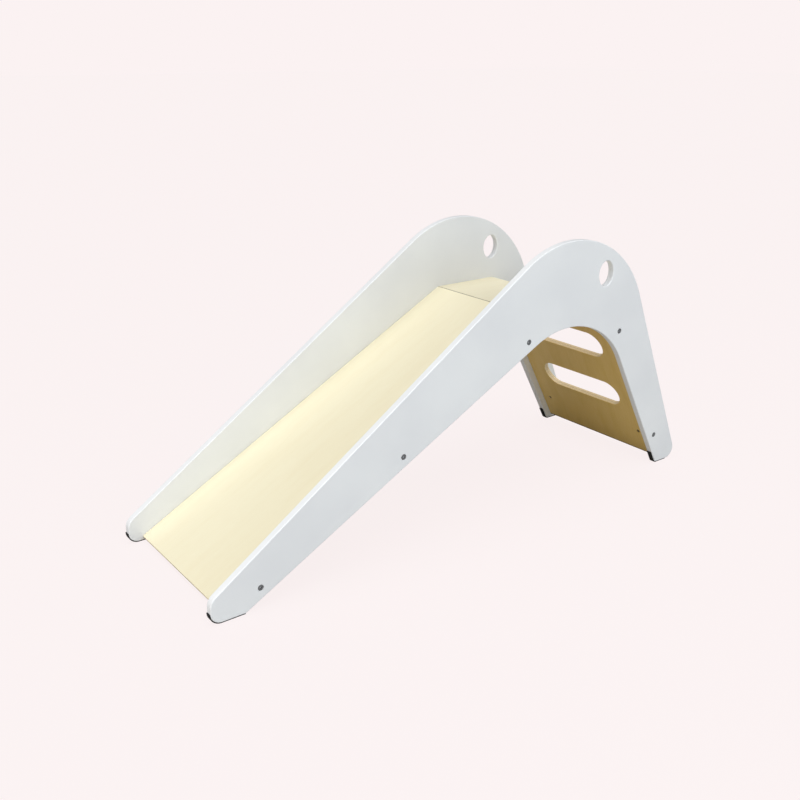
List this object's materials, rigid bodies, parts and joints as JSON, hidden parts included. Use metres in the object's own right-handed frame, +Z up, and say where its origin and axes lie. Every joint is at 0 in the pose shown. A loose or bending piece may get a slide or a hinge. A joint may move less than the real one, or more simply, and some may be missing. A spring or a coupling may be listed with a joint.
{
  "type": "toddler slide",
  "caption": "Low indoor slide: plywood slide board and moulded deck with ladder slots, bolted between two rounded white side panels with handle holes.",
  "frame": {"origin": "on the floor, under the middle of the object's outer box", "axes": "+X along the slide from its toe towards the ladder, +Y across it to the right of someone sliding down, +Z up"},
  "size_m": [1.4523, 0.447, 0.674],
  "materials": {
    "panel_paint": "satin white lacquer on plywood, edges eased and lacquered too",
    "birch_ply": "pale birch plywood under clear satin lacquer, open layered edges",
    "beech": "bare beech",
    "bolt_steel": "dark nickel plated, satin",
    "zinc_steel": "zinc plated",
    "pad_rubber": "matt black rubber strip"
  },
  "bodies": {
    "root": {"side_panel_left": "panel_paint", "side_panel_right": "panel_paint", "slide_board": "birch_ply", "deck_ladder_panel": "birch_ply", "seam_batten": "beech", "bolt_slide_1_left": "bolt_steel", "bolt_slide_2_left": "bolt_steel", "bolt_slide_3_left": "bolt_steel", "bolt_ladder_foot_left": "bolt_steel", "bolt_ladder_head_left": "bolt_steel", "bolt_slide_1_right": "bolt_steel", "bolt_slide_2_right": "bolt_steel", "bolt_slide_3_right": "bolt_steel", "bolt_ladder_foot_right": "bolt_steel", "bolt_ladder_head_right": "bolt_steel", "barrel_nut_slide_1_left": "zinc_steel", "barrel_nut_slide_2_left": "zinc_steel", "barrel_nut_slide_3_left": "zinc_steel", "barrel_nut_ladder_foot_left": "zinc_steel", "barrel_nut_ladder_head_left": "zinc_steel", "barrel_nut_slide_1_right": "zinc_steel", "barrel_nut_slide_2_right": "zinc_steel", "barrel_nut_slide_3_right": "zinc_steel", "barrel_nut_ladder_foot_right": "zinc_steel", "barrel_nut_ladder_head_right": "zinc_steel", "dowel_slide_low_left": "beech", "dowel_slide_high_left": "beech", "dowel_deck_left": "beech", "dowel_ladder_left": "beech", "dowel_slide_low_right": "beech", "dowel_slide_high_right": "beech", "dowel_deck_right": "beech", "dowel_ladder_right": "beech", "screw_slide_1": "zinc_steel", "screw_slide_2": "zinc_steel", "screw_slide_3": "zinc_steel", "screw_deck_1": "zinc_steel", "screw_deck_2": "zinc_steel", "screw_deck_3": "zinc_steel", "toe_pad_left": "pad_rubber", "toe_pad_right": "pad_rubber", "rear_pad_left": "pad_rubber", "rear_pad_right": "pad_rubber"}
  },
  "joints": []
}
